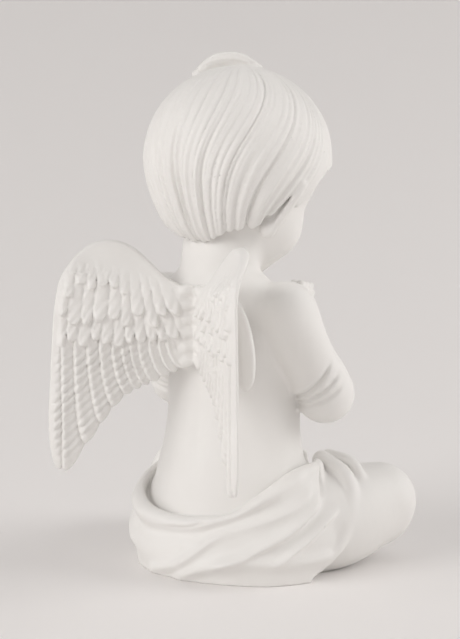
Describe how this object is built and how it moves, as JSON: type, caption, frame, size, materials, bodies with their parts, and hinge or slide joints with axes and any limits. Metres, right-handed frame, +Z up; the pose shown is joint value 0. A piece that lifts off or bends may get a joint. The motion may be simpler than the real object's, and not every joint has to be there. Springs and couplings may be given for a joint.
{
  "type": "seated cherub figurine",
  "caption": "Seated winged child figurine in unglazed white porcelain, a folded cloth round the hips, hands together in prayer.",
  "frame": {"origin": "on the table, under the middle of the trunk", "axes": "+Z up, the figure faces -Y, and its left hand is towards +X"},
  "size_m": [0.0986, 0.1034, 0.1638],
  "materials": {
    "bisque": "matt unglazed white"
  },
  "bodies": {
    "root": {"seated_cherub": "bisque"}
  },
  "joints": []
}
